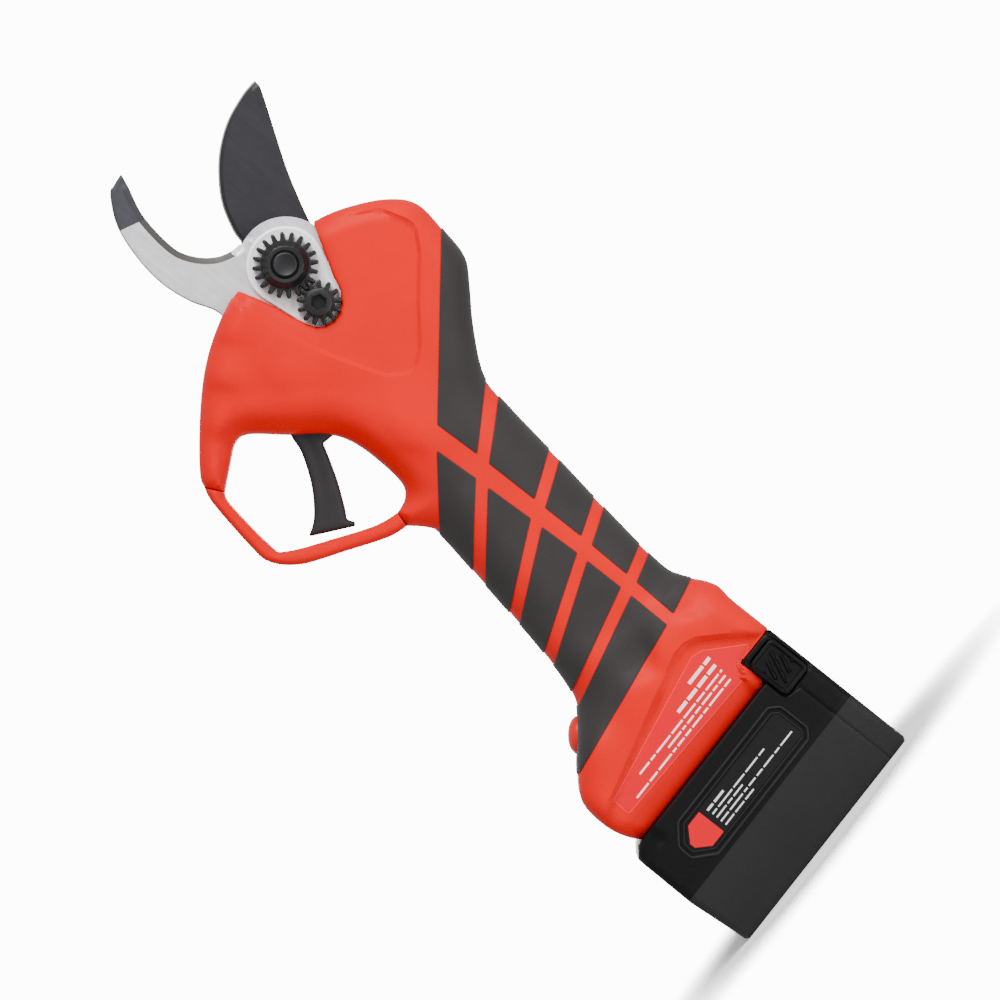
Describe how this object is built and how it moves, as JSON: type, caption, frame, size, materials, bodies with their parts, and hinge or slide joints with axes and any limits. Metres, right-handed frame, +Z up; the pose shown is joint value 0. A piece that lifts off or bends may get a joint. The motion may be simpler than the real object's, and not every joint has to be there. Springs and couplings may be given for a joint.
{
  "type": "battery electric pruner",
  "caption": "Handheld electric pruner with a fixed hook, a swinging blade on exposed tension gears, a guarded trigger and a slide-on battery that it stands on.",
  "frame": {"origin": "centre of the battery's flat base, on the handle's middle plane", "axes": "+Z up from the base to the blades, +X towards the back of the handle (the trigger is on -X), -Y the side with the tension nut"},
  "size_m": [0.1136, 0.0494, 0.2888],
  "materials": {
    "red_shell": "matte red moulded plastic",
    "grip_rubber": "matt rubber",
    "trigger_plastic": "matt dark plastic",
    "bright_steel": "brushed",
    "blade_steel": "dark ground steel",
    "plate_steel": "satin",
    "black_oxide": "black oxide",
    "screw_steel": "zinc plated",
    "gear_steel": "machined",
    "case_alloy": "as cast",
    "bush_brass": "machined",
    "motor_can_steel": "plated",
    "winding_copper": "enamelled windings",
    "black_plastic": "matte",
    "circuit_board": "solder mask",
    "component_black": "moulded",
    "lead_yellow": "insulation",
    "lead_red": "insulation",
    "label_red": "printed film",
    "label_black": "printed film",
    "button_red": "gloss",
    "cell_wrap": "shrink wrapped cell",
    "holder_plastic": "matte"
  },
  "bodies": {
    "housing": {"left_shell": "red_shell", "right_shell": "red_shell", "left_grip": "grip_rubber", "right_grip": "grip_rubber", "trigger_guard": "red_shell", "shell_screws": "screw_steel", "rating_label": "label_red", "hook_blade": "bright_steel", "hook_screws": "black_oxide", "pivot_bolt": "black_oxide", "left_side_plate": "plate_steel", "right_side_plate": "plate_steel", "gear_case": "case_alloy", "case_cover": "case_alloy", "case_screws": "screw_steel", "pinion_bearing": "gear_steel", "ring_gear": "gear_steel", "gearbox_end_plate": "case_alloy", "motor_can": "motor_can_steel", "motor_stator": "winding_copper", "motor_end_cap": "black_plastic", "motor_leads": "lead_yellow", "control_board": "circuit_board", "board_parts": "component_black", "battery_leads": "lead_red", "terminal_block": "black_plastic", "trigger_pin": "screw_steel", "trigger_spring": "screw_steel", "trigger_sensor": "circuit_board", "power_switch": "black_plastic"},
    "blade": {"cutting_blade": "blade_steel", "sector_gear": "gear_steel", "sector_pins": "black_oxide", "pivot_bush": "bush_brass"},
    "nut": {"tension_nut": "black_oxide"},
    "locking_pinion": {"lock_pinion": "black_oxide", "lock_screw": "black_oxide"},
    "rotor": {"motor_rotor": "gear_steel", "input_sun": "gear_steel"},
    "middle": {"middle_carrier": "gear_steel"},
    "input_planet_a": {"input_planet_1": "gear_steel"},
    "input_planet_b": {"input_planet_2": "gear_steel"},
    "input_planet_c": {"input_planet_3": "gear_steel"},
    "output_shaft": {"output_carrier": "gear_steel", "bevel_pinion": "gear_steel"},
    "output_planet_a": {"output_planet_1": "gear_steel"},
    "output_planet_b": {"output_planet_2": "gear_steel"},
    "output_planet_c": {"output_planet_3": "gear_steel"},
    "trigger_lever": {"trigger": "trigger_plastic", "trigger_magnet": "screw_steel"},
    "button": {"power_button": "button_red"},
    "battery": {"battery_case": "black_plastic", "battery_back_cap": "black_plastic", "battery_screws": "screw_steel", "battery_label": "label_black", "battery_cells": "cell_wrap", "cell_holders": "holder_plastic", "battery_board": "circuit_board"},
    "latch_near": {"left_latch": "black_plastic"},
    "latch_far": {"right_latch": "black_plastic"}
  },
  "joints": [
    {"name": "motor_spin", "type": "hinge", "parent": "housing", "child": "rotor", "pos_m": [0.02092, 0, 0.15394], "axis": [-0.1685, 0, -0.9857], "range_deg": [0, 5800]},
    {"name": "middle_carrier_spin", "type": "hinge", "parent": "housing", "child": "middle", "pos_m": [0.02648, 0, 0.18647], "axis": [-0.1685, 0, -0.9857], "range_deg": [0, 1160]},
    {"name": "input_planet_a_spin", "type": "hinge", "parent": "middle", "child": "input_planet_a", "pos_m": [0.01915, 0, 0.18367], "axis": [-0.1685, 0, -0.9857], "range_deg": [-3093.34, 0]},
    {"name": "input_planet_b_spin", "type": "hinge", "parent": "middle", "child": "input_planet_b", "pos_m": [0.02913, 0.00585, 0.18196], "axis": [-0.1685, 0, -0.9857], "range_deg": [-3093.34, 0]},
    {"name": "input_planet_c_spin", "type": "hinge", "parent": "middle", "child": "input_planet_c", "pos_m": [0.02913, -0.00585, 0.18196], "axis": [-0.1685, 0, -0.9857], "range_deg": [-3093.34, 0]},
    {"name": "output_shaft_spin", "type": "hinge", "parent": "housing", "child": "output_shaft", "pos_m": [0.02935, 0, 0.20323], "axis": [-0.1685, 0, -0.9857], "range_deg": [0, 232]},
    {"name": "output_planet_a_spin", "type": "hinge", "parent": "output_shaft", "child": "output_planet_a", "pos_m": [0.02067, 0, 0.19254], "axis": [-0.1685, 0, -0.9857], "range_deg": [-618.68, 0]},
    {"name": "output_planet_b_spin", "type": "hinge", "parent": "output_shaft", "child": "output_planet_b", "pos_m": [0.03065, 0.00585, 0.19083], "axis": [-0.1685, 0, -0.9857], "range_deg": [-618.68, 0]},
    {"name": "output_planet_c_spin", "type": "hinge", "parent": "output_shaft", "child": "output_planet_c", "pos_m": [0.03065, -0.00585, 0.19083], "axis": [-0.1685, 0, -0.9857], "range_deg": [-618.68, 0]},
    {"name": "blade_swing", "type": "hinge", "parent": "housing", "child": "blade", "pos_m": [0.0344, 0, 0.2328], "axis": [0, -1, 0], "range_deg": [0, 58]},
    {"name": "tension_nut_turn", "type": "hinge", "parent": "housing", "child": "nut", "pos_m": [0.0344, 0, 0.2328], "axis": [0, -1, 0], "range_deg": [-20, 20]},
    {"name": "lock_pinion_turn", "type": "hinge", "parent": "housing", "child": "locking_pinion", "pos_m": [0.03187, 0, 0.218], "axis": [0, -1, 0], "range_deg": [-31, 31]},
    {"name": "trigger_pull", "type": "hinge", "parent": "housing", "child": "trigger_lever", "pos_m": [0.007, 0, 0.202], "axis": [0, -1, 0], "range_deg": [0, 12], "stiffness_Nm_per_rad": 0.6, "springref_deg": -5.73},
    {"name": "power_press", "type": "slide", "parent": "housing", "child": "button", "axis": [0.6198, 0, -0.7848], "range_m": [0, 0.001], "stiffness_N_per_m": 1500, "springref_m": -0.0005},
    {"name": "battery_slide", "type": "slide", "parent": "housing", "child": "battery", "axis": [1, 0, 0], "range_m": [0, 0.06]},
    {"name": "left_latch_press", "type": "slide", "parent": "battery", "child": "latch_near", "axis": [0, 1, 0], "range_m": [0, 0.0015], "stiffness_N_per_m": 1500, "springref_m": -0.0005},
    {"name": "right_latch_press", "type": "slide", "parent": "battery", "child": "latch_far", "axis": [0, -1, 0], "range_m": [0, 0.0015], "stiffness_N_per_m": 1500, "springref_m": -0.0005}
  ],
  "couplings": [
    {"joint": "middle_carrier_spin", "follows": "motor_spin", "ratio": 0.2},
    {"joint": "input_planet_a_spin", "follows": "motor_spin", "ratio": -0.53333},
    {"joint": "input_planet_b_spin", "follows": "motor_spin", "ratio": -0.53333},
    {"joint": "input_planet_c_spin", "follows": "motor_spin", "ratio": -0.53333},
    {"joint": "output_shaft_spin", "follows": "motor_spin", "ratio": 0.04},
    {"joint": "output_planet_a_spin", "follows": "motor_spin", "ratio": -0.10667},
    {"joint": "output_planet_b_spin", "follows": "motor_spin", "ratio": -0.10667},
    {"joint": "output_planet_c_spin", "follows": "motor_spin", "ratio": -0.10667},
    {"joint": "blade_swing", "follows": "motor_spin", "ratio": 0.01},
    {"joint": "lock_pinion_turn", "follows": "tension_nut_turn", "ratio": -1.5385}
  ]
}
